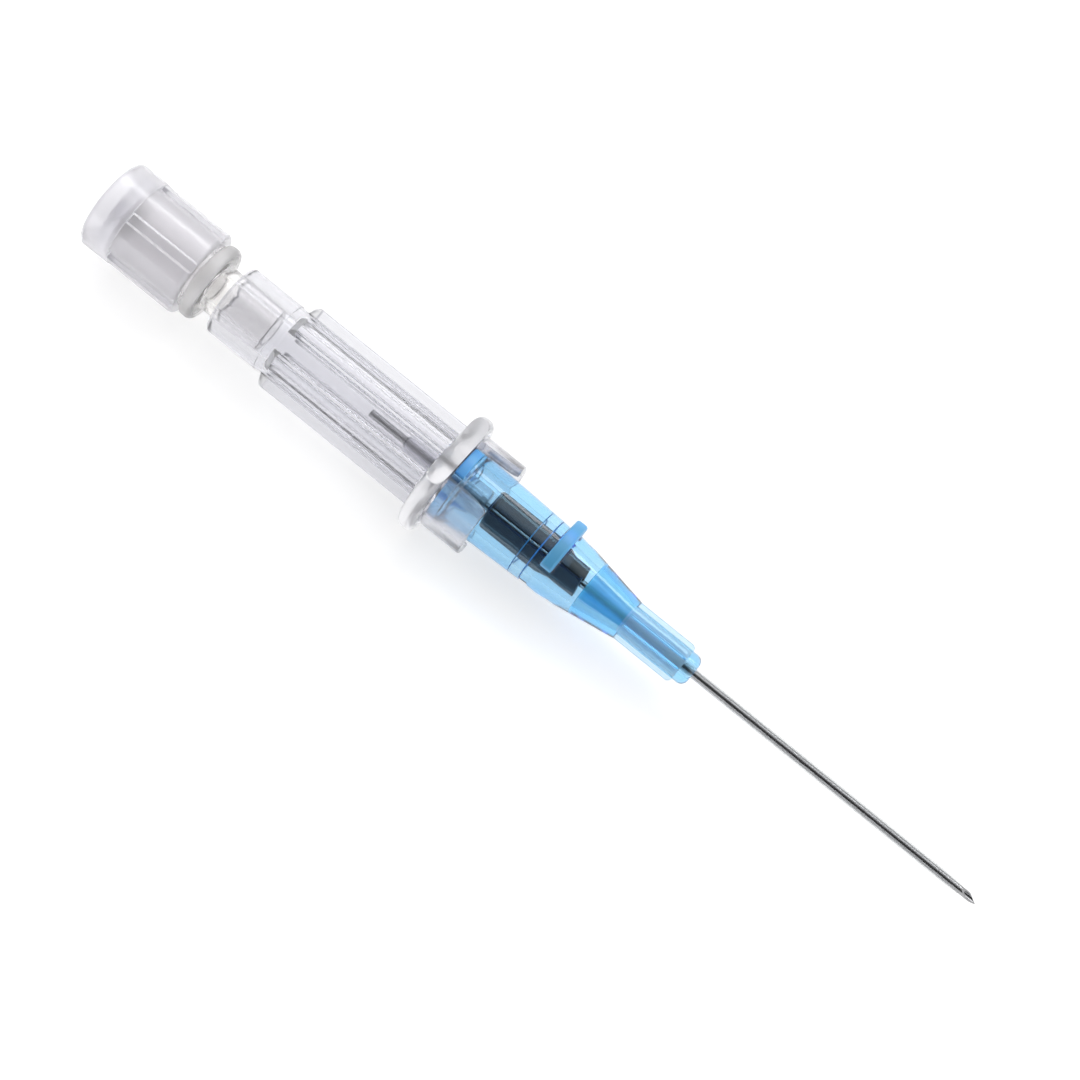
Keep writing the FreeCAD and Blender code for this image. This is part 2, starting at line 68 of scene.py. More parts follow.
# The sRGB curve is straight up to its knee and a power above it
SRGB_KNEE = 0.04045
SRGB_SLOPE = 12.92
SRGB_OFFSET = 0.055
SRGB_POWER = 2.4
# One value for a whole row, or one for each angle
Spread = Union[float, np.ndarray]


class Body(Enum):
    """The rigid groups that the new mouldings ride on."""

    NEEDLE_UNIT = "needle_unit"
    VENT_PLUG = "vent_plug"
    CATHETER = "catheter"


@dataclass(frozen=True)
class Layout:
    """Stations along the axis, measured forward from the cap's rear face."""

    overall: float = 81.14
    axis_height: float = 3.68
    recess_floor: float = 1.20
    web_front: float = 2.10
    spigot_rear: float = 2.35
    band_front: float = 2.68
    cap_front: float = 8.69
    collar_rear: float = 8.91
    collar_front: float = 10.06
    chamber_rear: float = 11.47
    plug_front: float = 15.47
    barrel_rear: float = 16.07
    socket_end: float = 16.47
    rib_rear: float = 16.78
    boss_rear: float = 28.43
    flange_rear: float = 31.18
    cavity_front: float = 31.40
    flange_front: float = 32.64
    hub_rear: float = 32.70
    stem_front: float = 35.68
    luer_front: float = 39.77
    catch_front: float = 40.86
    tab_rear: float = 41.62
    tab_front: float = 42.58
    shoulder: float = 43.98
    chest_front: float = 45.06
    funnel_front: float = 48.66
    fin_rear: float = 48.93
    fin_front: float = 54.07
    nose_front: float = 55.08


LAYOUT = Layout()


def straightened(share: float) -> float:
    """Amount of light for a share of one sRGB channel."""
    if share <= SRGB_KNEE:
        return share / SRGB_SLOPE
    return ((share + SRGB_OFFSET) / (1 + SRGB_OFFSET)) ** SRGB_POWER


def linear(hex_colour: str) -> tuple[float, float, float, float]:
    """Linear colour of an sRGB hex value.

    Args:
        hex_colour: Colour as #RRGGBB.

    Returns:
        Red, green, blue and an alpha of one.
    """
    red, green, blue = (straightened(int(hex_colour[i:i + 2], 16) / 255) for i in (1, 3, 5))
    return red, green, blue, 1.0


def add_node(tree: bpy.types.NodeTree, kind: str, values: Optional[dict[str, Any]] = None,
             links: Optional[dict[str, bpy.types.NodeSocket]] = None) -> bpy.types.Node:
    """Adds one node with its settings and links.

    Args:
        tree: Node tree that takes the node.
        kind: Blender's name of the node type.
        values: Input sockets or properties by name, with their values.
        links: Input sockets by name, with the outputs that feed them.

    Returns:
        The new node.
    """
    node = tree.nodes.new(kind)
    for name, value in (values or {}).items():
        if name in node.inputs:
            node.inputs[name].default_value = value
        else:
            setattr(node, name, value)
    for name, source in (links or {}).items():
        tree.links.new(source, node.inputs[name])
    return node


def add_relief(tree: bpy.types.NodeTree, spacing: float, depth: float, detail: float = 2.0,
               squeeze: float = 1.0) -> bpy.types.NodeSocket:
    """Adds a fine relief over a surface.

    Args:
        tree: Node tree that takes the nodes.
        spacing: Distance between its highs, in millimetres.
        depth: Distance from its highs to its lows, in millimetres.
        detail: Number of finer layers in it.
        squeeze: Scale along the axis; below one, the relief is drawn out into lines.

    Returns:
        The output with the surface's normal.
    """
    position = add_node(tree, "ShaderNodeTexCoord")
    drawn_out = add_node(tree, "ShaderNodeMapping", {"Scale": (squeeze, 1.0, 1.0)},
                         {"Vector": position.outputs["Object"]})
    noise = add_node(tree, "ShaderNodeTexNoise", {"Scale": 1 / (spacing * MM), "Detail": detail},
                     {"Vector": drawn_out.outputs["Vector"]})
    bump = add_node(tree, "ShaderNodeBump", {"Strength": 1.0, "Distance": depth * MM},
                    {"Height": noise.outputs["Fac"]})
    return bump.outputs["Normal"]


def add_object(name: str, data: bpy.types.ID) -> bpy.types.Object:
    """Object of the scene that shows the given mesh, light or camera."""
    made = bpy.data.objects.new(name, data)
    bpy.context.scene.collection.objects.link(made)
    return made


def new_material(name: str) -> bpy.types.Material:
    """Material with an empty node tree."""
    material = bpy.data.materials.new(name)
    material.use_nodes = True
    material.node_tree.nodes.clear()
    return material


@dataclass(frozen=True)
class ClearMoulding:
    """Clear plastic from a mould or a die.

    How smooth the steel is decides how the skin looks, and a shrinking wall leaves faint waves in it.
    Spacing and depth of the waves are in millimetres.
    """

    name: str
    tint: str
    ior: float
    roughness: float
    lets_through: float
    haze: float
    depth_colour: str
    depth_density: float
    skin_gloss: float = 0.0
    skin_roughness: float = 0.08
    wave_spacing: float = 1.6
    wave_depth: float = 0.0008

    def material(self) -> bpy.types.Material:
        """Clear plastic that bends what is behind it and lets the lamps through to the pieces inside."""
        material = new_material(self.name)
        tree = material.node_tree
        waves = add_relief(tree, self.wave_spacing, self.wave_depth)
        light = add_node(tree, "ShaderNodeLightPath")
        opaque = add_node(tree, "ShaderNodeMapRange", {"To Min": 1.0, "To Max": 1.0 - self.lets_through},
                          {"Value": light.outputs["Is Shadow Ray"]})
        plastic = add_node(tree, "ShaderNodeBsdfPrincipled",
                           {"Base Color": linear(self.tint), "Roughness": self.roughness, "IOR": self.ior,
                            "Transmission Weight": 1.0 - self.haze, "Coat Weight": self.skin_gloss,
                            "Coat Roughness": self.skin_roughness},
                           {"Normal": waves, "Alpha": opaque.outputs["Result"]})
        depth = add_node(tree, "ShaderNodeVolumeAbsorption",
                         {"Color": linear(self.depth_colour), "Density": self.depth_density})
        add_node(tree, "ShaderNodeOutputMaterial",
                 links={"Surface": plastic.outputs["BSDF"], "Volume": depth.outputs["Volume"]})
        return material


@dataclass(frozen=True)
class DrawnSteel:
    """Stainless steel drawn or rolled to size, which leaves fine lines along its length.

    Spacing and depth of the lines are in millimetres.
    """

    name: str
    colour: str
    roughness: float
    line_spacing: float = 0.12
    line_depth: float = 0.002
    squeeze: float = 0.04

    def material(self) -> bpy.types.Material:
        """Metal whose gloss is broken by lines along the axis."""
        material = new_material(self.name)
        tree = material.node_tree
        lines = add_relief(tree, self.line_spacing, self.line_depth, squeeze=self.squeeze)
        steel = add_node(tree, "ShaderNodeBsdfPrincipled",
                         {"Base Color": linear(self.colour), "Roughness": self.roughness, "Metallic": 1.0},
                         {"Normal": lines})
        add_node(tree, "ShaderNodeOutputMaterial", links={"Surface": steel.outputs["BSDF"]})
        return material


@dataclass(frozen=True)
class PorousSheet:
    """Sintered porous plastic: white, matt, and a little grainy. Grain and pores are in millimetres."""

    name: str
    colour: str
    grain: float = 0.08
    pore_depth: float = 0.01
    roughness: float = 0.9
    gloss: float = 0.2

    def material(self) -> bpy.types.Material:
        """Matt white with a grain that the pores give."""
        material = new_material(self.name)
        tree = material.node_tree
        pores = add_relief(tree, self.grain, self.pore_depth, detail=1.0)
        sheet = add_node(tree, "ShaderNodeBsdfPrincipled",
                         {"Base Color": linear(self.colour), "Roughness": self.roughness,
                          "Specular IOR Level": self.gloss},
                         {"Normal": pores})
        add_node(tree, "ShaderNodeOutputMaterial", links={"Surface": sheet.outputs["BSDF"]})
        return material


# Clear polycarbonate off a polished mould: glossy, faintly lavender where the wall is thick
CHAMBER_PLASTIC = ClearMoulding(
    "polycarbonate_clear", tint="#F6F6F9", ior=1.53, roughness=0.09, lets_through=0.75, haze=0.085,
    depth_colour="#C6C6D2", depth_density=80.0)
# Same moulding where the mould is blasted: the flange's rim and the ribs' noses are soft and milky
FLANGE_PLASTIC = ClearMoulding(
    "polycarbonate_satin", tint="#F3F3F4", ior=1.53, roughness=0.28, lets_through=0.75, haze=0.13,
    depth_colour="#C6C6CE", depth_density=70.0)
# Same moulding off a stoned face: the tongues blur a little what lies behind them
TONGUE_PLASTIC = ClearMoulding(
    "polycarbonate_semi", tint="#F5F5F8", ior=1.53, roughness=0.14, lets_through=0.75, haze=0.08,
    depth_colour="#C6C6D4", depth_density=70.0)
# Methacrylate copolymer of the cap: an etched core pin frosts the wall under a glossy outer skin
CAP_PLASTIC = ClearMoulding(
    "methacrylate_etched", tint="#F8F7FB", ior=1.50, roughness=0.30, lets_through=0.75, haze=0.18,
    depth_colour="#C6C6D2", depth_density=40.0, skin_gloss=0.7)
# Same copolymer off polished steel: the plug's neck and spigot are clear
PLUG_PLASTIC = ClearMoulding(
    "methacrylate_polished", tint="#FBFAF9", ior=1.50, roughness=0.10, lets_through=0.85, haze=0.02,
    depth_colour="#CFCBC8", depth_density=15.0)
# The plug's collar meets the fingers, and a satin mould face makes it soft and pale
COLLAR_PLASTIC = ClearMoulding(
    "methacrylate_satin", tint="#FAF9FA", ior=1.50, roughness=0.55, lets_through=0.80, haze=0.30,
    depth_colour="#CFCCCB", depth_density=10.0)
# Blue polycarbonate of the hub: little pigment, so walls are pale and thick edges saturated
HUB_PLASTIC = ClearMoulding(
    "polycarbonate_blue", tint="#F1F7FB", ior=1.55, roughness=0.04, lets_through=0.70, haze=0.01,
    depth_colour="#22D9FF", depth_density=460.0)
# Same plastic off a textured mould: tab, ears and the catch groove's slants scatter light
TAB_PLASTIC = ClearMoulding(
    "polycarbonate_blue_textured", tint="#70CCFF", ior=1.55, roughness=0.35, lets_through=0.70, haze=0.66,
    depth_colour="#22DAFF", depth_density=420.0)
# Same plastic off an unpolished core pin: the funnel is matt and deep blue
FUNNEL_PLASTIC = ClearMoulding(
    "polycarbonate_blue_matt", tint="#C4FFFF", ior=1.55, roughness=0.16, lets_through=0.70, haze=0.50,
    depth_colour="#22F0FF", depth_density=420.0)
# Same plastic off a finer core pin: the tube's seat is softly blurred and paler
SEAT_PLASTIC = ClearMoulding(
    "polycarbonate_blue_satin", tint="#F6FCFF", ior=1.55, roughness=0.22, lets_through=0.70, haze=0.62,
    depth_colour="#22E0FF", depth_density=330.0)
# Extruded fluoropolymer of the catheter tube: smooth, low in gloss, grey along its wall
TUBE_PLASTIC = ClearMoulding(
    "fluoropolymer_extruded", tint="#FAFAFA", ior=1.35, roughness=0.04, lets_through=0.90, haze=0.02,
    depth_colour="#C8CED2", depth_density=2600.0)
# Clear polyamide of the ferrule: glossy from its mould
FERRULE_PLASTIC = ClearMoulding(
    "polyamide_clear", tint="#F2F8FC", ior=1.50, roughness=0.05, lets_through=0.80, haze=0.05,
    depth_colour="#CBE6FA", depth_density=100.0)
# Acrylic adhesive, cured: it sets clear with a wet-looking skin
ADHESIVE = ClearMoulding(
    "acrylic_adhesive_cured", tint="#F0F2F6", ior=1.48, roughness=0.05, lets_through=0.80, haze=0.05,
    depth_colour="#D8DDE8", depth_density=100.0)
# Stainless tube, drawn and polished: it mirrors the room in narrow bands
NEEDLE_STEEL = DrawnSteel("stainless_drawn", colour="#A8A8AA", roughness=0.06)
# Spring strip, rolled and heat-treated: blue-black with a soft sheen
CLIP_STEEL = DrawnSteel("stainless_rolled_dark", colour="#132233", roughness=0.34)
# Sintered polyethylene: dull white
VENT_SHEET = PorousSheet("polyethylene_porous", colour="#E9E9E8")


def wrapped(degrees: Spread) -> Spread:
    """The same angles between minus and plus half a turn."""
    return (degrees + FULL_TURN / 2) % FULL_TURN - FULL_TURN / 2


class Around:
    """Angles about the axis, from the top towards +Y, finer where a form has its edges."""

    def __init__(self, edges: tuple[float, ...] = (), reach: float = 2.4, fine: float = 0.3,
                 coarse: float = 3.0) -> None:
        """Lays out the angles.

        Args:
            edges: Angles where a wall or a round lies.
            reach: Degrees to each side of an edge that are drawn finely.
            fine: Step near an edge.
            coarse: Step elsewhere.
        """
        marks = {round(a, 3) % FULL_TURN for a in np.arange(0.0, FULL_TURN, coarse)}
        for edge in edges:
            near = {round(edge + a, 3) % FULL_TURN for a in np.arange(-reach, reach + fine / 2, fine)}
            marks = {mark for mark in marks if abs(wrapped(mark - edge)) > reach + fine / 2} | near
        self.degrees = np.array(sorted(marks))
        self.sine = np.sin(np.radians(self.degrees))
        self.cosine = np.cos(np.radians(self.degrees))

    def off(self, centre: float) -> np.ndarray:
        """Signed degrees from a centre line."""
        return wrapped(self.degrees - centre)


class Turning:
    """Closed surface about the axis, drawn as rows; a row's station and radius may change around it."""

    def __init__(self, around: Around) -> None:
        """Starts with no rows."""
        self.around = around
        self.rows: list[tuple[np.ndarray, np.ndarray]] = []

    def row(self, station: Spread, radius: Spread) -> None:
        """Adds one row of points."""
        ones = np.ones(len(self.around.degrees))
        self.rows.append((station * ones, radius * ones))

    def line(self, *points: tuple[Spread, Spread]) -> None:
        """Adds rows at the given stations and radii."""
        for station, radius in points:
            self.row(station, radius)

    def bend(self, station: Spread, radius: Spread, size: float, start: float, end: float,
             steps: int = 6) -> None:
        """Adds rows along an arc.

        Args:
            station: Centre of the arc along the axis.
            radius: Centre of the arc off the axis.
            size: Radius of the arc.
            start: Angle at which it begins, from forward towards outward, in degrees.
            end: Angle at which it ends.
            steps: Number of stretches.
        """
        for turn in np.radians(np.linspace(start, end, steps + 1)):
            self.row(station + size * math.cos(turn), radius + size * math.sin(turn))

    def rise(self, tip: float, length: float, form: Callable[[float], Spread], rows: int = 7) -> None:
        """Adds the rows of a form that rises forward along a quarter ellipse.

        Args:
            tip: Station where the form begins.
            length: Length over which it reaches its full height.
            form: Gives the radius for a share of the full height.
            rows: Number of rows.
        """
        for turn in np.radians(np.linspace(180, 90, rows)):
            self.row(tip + length * (1 + math.cos(turn)), form(math.sin(turn)))

    def fall(self, tip: float, length: float, form: Callable[[float], Spread], rows: int = 7) -> None:
        """Adds the rows of a form that falls forward along a quarter ellipse.

        Args:
            tip: Station where the form ends.
            length: Length over which it falls from its full height.
            form: Gives the radius for a share of the full height.
            rows: Number of rows.
        """
        for turn in np.radians(np.linspace(90, 0, rows)):
            self.row(tip - length * (1 - math.cos(turn)), form(math.sin(turn)))

    def build(self, name: str, finish: bpy.types.Material) -> bpy.types.Object:
        """Makes the surface, in which the last row joins the first.

        Args:
            name: Name of the piece.
            finish: Its material.

        Returns:
            The new piece.
        """
        mesh = bpy.data.meshes.new(name)
        form = bmesh.new()
        rows = [[form.verts.new(to_frame(x, r * s, r * c)) for x, r, s, c in
                 zip(stations, radii, self.around.sine, self.around.cosine)] for stations, radii in self.rows]
        for here, there in zip(rows, rows[1:] + rows[:1]):
            for i in range(len(here)):
                k = (i + 1) % len(here)
                form.faces.new((here[i], here[k], there[k], there[i]))
        bmesh.ops.remove_doubles(form, verts=form.verts, dist=MERGE * MM)
        bmesh.ops.dissolve_degenerate(form, edges=form.edges, dist=SLIVER * MM)
        bmesh.ops.recalc_face_normals(form, faces=form.faces)
        form.to_mesh(mesh)
        form.free()
        mesh.materials.append(finish)
        piece = add_object(name, mesh)
        soften(piece)
        return piece


def to_frame(station: float, across: float, up: float) -> Vector:
    """Point of the frame, in metres, for a station and two distances from the axis, in millimetres."""
    return Vector((station - LAYOUT.overall / 2, across, up + LAYOUT.axis_height)) * MM


def from_frame(point: Vector) -> tuple[float, float]:
    """Station and distance from the axis, in millimetres, of a point of the frame."""
    spot = point / MM
    return spot.x + LAYOUT.overall / 2, math.hypot(spot.y, spot.z - LAYOUT.axis_height)


def spaced(count: int, first: float = 0.0) -> list[float]:
    """Centre lines, in degrees, of equal parts all round the axis."""
    return [first + i * FULL_TURN / count for i in range(count)]


def both_sides(centres: Iterable[float], half: float) -> tuple[float, ...]:
    """The two edges, in degrees, of a part at each centre line."""
    return tuple(centre + side * half for centre in centres for side in (-1, 1))


@dataclass(frozen=True)
class Zone:
    """Part of a moulding between two stations and two radii, with its own finish."""

    finish: ClearMoulding
    rear: float
    front: float
    low: float
    high: float


def finish_zones(piece: bpy.types.Object, zones: tuple[Zone, ...]) -> None:
    """Gives the faces in each zone its finish.

    Args:
        piece: The moulding.
        zones: The zones, which don't overlap.
    """
    slots: dict[str, int] = {}
    for zone in zones:
        if zone.finish.name not in slots:
            slots[zone.finish.name] = len(piece.data.materials)
            piece.data.materials.append(zone.finish.material())
    for face in piece.data.polygons:
        station, radius = from_frame(face.center)
        for zone in zones:
            if zone.rear < station < zone.front and zone.low < radius < zone.high:
                face.material_index = slots[zone.finish.name]


def soften(piece: bpy.types.Object, sharp: float = 35.0) -> None:
    """Smooth shading that breaks only at real edges and leaves the flat faces flat."""
    piece.data.polygons.foreach_set("use_smooth", [True] * len(piece.data.polygons))
    piece.data.set_sharp_from_angle(angle=math.radians(sharp))
    weighted = piece.modifiers.new("even_faces", "WEIGHTED_NORMAL")
    weighted.keep_sharp = True


def bar_reach(off: np.ndarray, half_width: float, height: Spread, corner: float) -> np.ndarray:
    """Distance from the axis to the skin of a straight bar that stands out from it.

    Args:
        off: Degrees from the bar's centre line.
        half_width: Half the bar's width.
        height: Distance from the axis to its crest.
        corner: Radius of its two long edges.

    Returns:
        The distance for each angle, nothing behind the axis.
    """
    sine = np.abs(np.sin(np.radians(off)))
    cosine = np.maximum(np.cos(np.radians(off)), TINY)
    crest = height / cosine
    side = half_width / np.maximum(sine, TINY)
    across, up = half_width - corner, height - corner
    middle = across * sine + up * cosine
    rest = np.maximum(middle ** 2 - across ** 2 - up ** 2 + corner ** 2, 0.0)
    turned = middle + np.sqrt(rest)
    reach = np.where(crest * sine <= across, crest, np.where(side * cosine <= up, side, turned))
    return np.where(np.abs(off) < BAR_SIGHT, reach, 0.0)


def filleted(base: np.ndarray, raised: np.ndarray, soft: float) -> np.ndarray:
    """The larger of two distances, with a rounded hollow where they meet."""
    share = np.clip(0.5 + 0.5 * (raised - base) / soft, 0.0, 1.0)
    return base + (raised - base) * share + soft * share * (1.0 - share)


def eased(off: np.ndarray, half: float, soft: float) -> np.ndarray:
    """One inside a sector and nothing outside, with a rounded fall over the soft degrees at its ends."""
    share = np.clip((half - np.abs(off)) / soft, 0.0, 1.0)
    return np.sqrt(1.0 - (1.0 - share) ** 2)


@dataclass
class VentPlug:
    """Ribbed grip cap, its porous membrane, and the luer plug that is pressed into it."""

    cap_radius: float = 3.68
    panel_radius: float = 3.60
    cavity_radius: float = 2.765
    spigot_radius: float = 2.75
    spigot_bore: float = 1.85
    vent_radius: float = 0.60
    rear_round: float = 0.45
    front_round: float = 0.32
    groove_half: float = 0.395
    groove_floor: float = 3.27
    groove_count: int = 6
    groove_first: float = 30.0
    groove_wall: float = 2.6
    band_edge: float = 0.06
    panel_start: float = 0.10
    collar_radius: float = 3.16
    collar_round: float = 0.42
    neck_rear: float = 1.962
    neck_front: float = 1.80
    neck_fillet: float = 0.15
    neck_edge: float = 0.12
    plug_bore: float = 1.10

    def groove_half_angle(self) -> float:
        """Degrees from a groove's centre line to the middle of its wall."""
        return math.degrees(math.asin(self.groove_half / self.groove_floor))

    def grooved(self, around: Around, radius: float) -> np.ndarray:
        """Panel radius with the grip grooves let into it."""
        skin = np.full(len(around.degrees), radius)
        for centre in spaced(self.groove_count, self.groove_first):
            off = around.off(centre)
            reach = self.groove_half_angle() + self.groove_wall / 2 - np.abs(off)
            inside = np.clip(reach / self.groove_wall, 0.0, 1.0)
            fall = inside * inside * (3 - 2 * inside)
            floor = self.groove_floor / np.cos(np.radians(off))
            skin = skin - fall * np.maximum(skin - floor, 0.0)
        return skin

    def cap(self) -> bpy.types.Object:
        """Grip cap: smooth band at the rear, six panels between grooves, vented web inside."""
        at = LAYOUT
        grooves = spaced(self.groove_count, self.groove_first)
        around = Around(both_sides(grooves, self.groove_half_angle()), reach=2.0, fine=0.25)
        panels = self.grooved(around, self.panel_radius)
        skin = Turning(around)
        skin.line((at.recess_floor, self.vent_radius), (at.recess_floor, self.cavity_radius),
                  (0.0, self.cavity_radius))
        skin.bend(self.rear_round, self.cap_radius - self.rear_round, self.rear_round, 180, 90, 8)
        skin.bend(at.band_front - self.band_edge, self.panel_radius, self.band_edge, 90, 0, 3)
        skin.line((at.band_front, panels), (at.band_front + self.panel_start, panels),
                  (at.cap_front - self.front_round, panels))
        skin.fall(at.cap_front, self.front_round,
                  lambda share: self.grooved(around, self.panel_radius - self.front_round * (1 - share)))
        skin.line((at.cap_front, self.cavity_radius), (at.web_front, self.cavity_radius),
                  (at.web_front, self.vent_radius))
        return skin.build("cap_moulding", CAP_PLASTIC.material())

    def plug(self) -> bpy.types.Object:
        """Luer plug: spigot, rounded collar and the tapered neck that enters the chamber."""
        skin = Turning(Around())
        at, soft = LAYOUT, self.collar_round
        skin.line((at.spigot_rear, self.spigot_bore), (at.spigot_rear, self.spigot_radius),
                  (at.collar_rear, self.spigot_radius))
        skin.bend(at.collar_rear + soft, self.collar_radius - soft, soft, 180, 90)
        skin.bend(at.collar_front - soft, self.collar_radius - soft, soft, 90, 0)
        skin.bend(at.collar_front + self.neck_fillet, self.neck_rear + self.neck_fillet, self.neck_fillet,
                  180, 270, 3)
        skin.bend(at.plug_front - self.neck_edge, self.neck_front - self.neck_edge, self.neck_edge, 90, 0, 3)
        skin.line((at.plug_front, self.plug_bore), (at.collar_rear, self.plug_bore),
                  (at.collar_rear, self.spigot_bore))
        return skin.build("plug_moulding", PLUG_PLASTIC.material())

    def build(self) -> None:
        """Makes and places the pieces of the vent plug."""
        plug = self.plug()
        finish_zones(plug, (Zone(COLLAR_PLASTIC, LAYOUT.collar_rear, LAYOUT.collar_front, self.spigot_radius,
                                 self.collar_radius),))
        for piece, node, slot in ((self.cap(), "grip_cap", "clear_cap"), (plug, "luer_plug", "clear_plug")):
            place(piece, Body.VENT_PLUG, node)
        redress("vent_membrane", VENT_SHEET.material())


@dataclass
class FlashbackChamber:
    """One clear moulding: luer socket, ribbed barrel, flange with two flats, boss, stem and two tongues."""

    socket_radius: float = 2.90
    socket_mouth: float = 1.94
    socket_end_radius: float = 1.79
    cavity_radius: float = 1.72
    barrel_radius: float = 2.84
    mouth_round: float = 0.28
    rib_half: float = 0.71
    rib_crest: float = 3.63
    rib_corner: float = 0.22
    rib_nose: float = 0.60
    rib_foot: float = 0.16
    rib_margin: float = 1.6
    nose_start: float = 0.005
    rib_count: int = 6
    flange_radius: float = 5.03
    flange_round: float = 0.62
    flat_reach: float = 3.68
    boss_radius: float = 1.18
    boss_round: float = 0.35
    stem_round: float = 0.30
    bore_radius: float = 0.300
    well_radius: float = 0.45
    grip: float = 0.60
    tongue_inner: float = 3.28
    tongue_outer: float = 4.02
    tongue_length: float = 3.65
    tongue_half_angle: float = 60.0
    tongue_corner: float = 7.0
    tongue_edge: float = 0.10
    tongue_edge_turn: float = 0.03
    root_round: float = 0.15

    def ribbed(self, around: Around, crest: float) -> np.ndarray:
        """Barrel radius with six ribs standing out to the given crest."""
        skin = np.full(len(around.degrees), self.barrel_radius)
        corner = min(self.rib_corner, max(crest - self.barrel_radius, HAIR))
        for centre in spaced(self.rib_count):
            bar = bar_reach(around.off(centre), self.rib_half, crest, corner)
            skin = filleted(skin, bar, self.rib_foot)
        return skin

    def flanged(self, around: Around, radius: float) -> np.ndarray:
        """Flange radius cut by the flats above and below."""
        upright = np.maximum(np.abs(around.cosine), TINY)
        return np.minimum(radius, self.flat_reach / upright)

    def tongue_reach(self, around: Around) -> np.ndarray:
        """How far the tongues reach at each angle, with rounded front corners."""
        left, right = around.off(-90.0), around.off(90.0)
        return np.maximum(eased(left, self.tongue_half_angle, self.tongue_corner),
                          eased(right, self.tongue_half_angle, self.tongue_corner))

    def moulding(self) -> bpy.types.Object:
        """The whole chamber as one closed surface."""
        at = LAYOUT
        crest_edge = math.degrees(math.asin(self.rib_half / self.rib_crest))
        foot_edge = math.degrees(math.asin(self.rib_half / self.barrel_radius))
        middle, reach = (crest_edge + foot_edge) / 2, (foot_edge - crest_edge) / 2 + self.rib_margin
        flat = math.degrees(math.acos(self.flat_reach / self.flange_radius))
        edges = (both_sides(spaced(self.rib_count), middle)
                 + both_sides((-90.0, 90.0), self.tongue_half_angle) + both_sides((0.0, 180.0), flat))
        around = Around(edges, reach=reach, fine=0.4, coarse=2.5)
        skin = Turning(around)
        skin.line((at.cavity_front, self.cavity_radius), (at.socket_end, self.cavity_radius),
                  (at.socket_end, self.socket_end_radius), (at.chamber_rear, self.socket_mouth))
        soft = self.mouth_round
        skin.bend(at.chamber_rear + soft, self.socket_radius - soft, soft, 180, 90)
        skin.line((at.barrel_rear, self.socket_radius), (at.barrel_rear + HAIR, self.barrel_radius),
                  (at.rib_rear, self.barrel_radius))
        self.ribs_and_flange(skin)
        self.tongues(skin)
        self.boss(skin)
        return skin.build("chamber_moulding", CHAMBER_PLASTIC.material())

    def ribs_and_flange(self, skin: Turning) -> None:
        """Adds the rows of the ribs, their rounded noses and the flange."""
        at, around = LAYOUT, skin.around
        foot = math.sqrt(self.barrel_radius ** 2 - self.rib_half ** 2)
        skin.rise(at.rib_rear, self.rib_nose,
                  lambda share: self.ribbed(around, foot + (self.rib_crest - foot) * share), 12)
        ribs = self.ribbed(around, self.rib_crest)
        skin.row(at.flange_rear - self.root_round, ribs)
        rim = self.flange_radius - self.flange_round

        def flange(share: float) -> np.ndarray:
            return self.flanged(around, rim + self.flange_round * share)

        skin.row(at.flange_rear, np.minimum(ribs + self.root_round, flange(0.0)))
        skin.rise(at.flange_rear, self.flange_round, flange)
        skin.fall(at.flange_front, self.flange_round, flange)

    def tongues(self, skin: Turning) -> None:
        """Adds the rows of the two tongues that hold the hub's rim."""
        front, around = LAYOUT.flange_front, skin.around
        reach = self.tongue_reach(around) * self.tongue_length
        edge, turn = self.tongue_edge, self.tongue_edge_turn
        start, middle = front + np.maximum(reach - edge, 0.0), front + np.maximum(reach - turn, 0.0)
        top = self.flanged(around, self.tongue_outer)
        skin.line((front, self.flanged(around, self.tongue_outer + self.root_round)),
                  (front + np.minimum(reach, self.root_round), top), (start, top), (middle, top - turn),
                  (front + reach, top - edge), (front + reach, self.tongue_inner + edge),
                  (middle, self.tongue_inner + turn), (start, self.tongue_inner), (front, self.tongue_inner))

    def boss(self, skin: Turning) -> None:
        """Adds the rows of the stem in front, the needle's hole and well, and the boss behind."""
        at = LAYOUT
        grip_rear, soft = at.stem_front - self.grip, self.stem_round
        skin.line((at.flange_front, self.boss_radius + self.root_round),
                  (at.flange_front + self.root_round, self.boss_radius))
        skin.bend(at.stem_front - soft, self.boss_radius - soft, soft, 90, 0)
        skin.line((at.stem_front, self.bore_radius), (grip_rear, self.bore_radius),
                  (grip_rear, self.well_radius), (at.boss_rear, self.well_radius))
        soft = self.boss_round
        skin.bend(at.boss_rear + soft, self.boss_radius - soft, soft, 180, 90)
        skin.line((at.cavity_front - self.root_round, self.boss_radius),
                  (at.cavity_front, self.boss_radius + self.root_round))

    def satin(self) -> tuple[Zone, ...]:
        """The ribs' noses, the flange's rim and the tongues, which differ in their mould faces."""
        at = LAYOUT
        return (Zone(FLANGE_PLASTIC, at.rib_rear, at.rib_rear + self.rib_nose + ZONE_MARGIN / 2,
                     self.barrel_radius + self.nose_start, self.rib_crest + ZONE_MARGIN),
                Zone(FLANGE_PLASTIC, at.flange_rear, at.flange_front, self.tongue_inner - ZONE_MARGIN,
                     self.flange_radius + ZONE_MARGIN),
                Zone(TONGUE_PLASTIC, at.flange_front, at.flange_front + self.tongue_length,
                     self.tongue_inner - ZONE_MARGIN, self.tongue_outer + ZONE_MARGIN))

    def build(self) -> None:
        """Makes and places the chamber, and dresses the needle and its adhesive."""
        moulding = self.moulding()
        finish_zones(moulding, self.satin())
        place(moulding, Body.NEEDLE_UNIT, "flashback_chamber")
        redress("needle", NEEDLE_STEEL.material())
        redress("needle_adhesive", ADHESIVE.material())


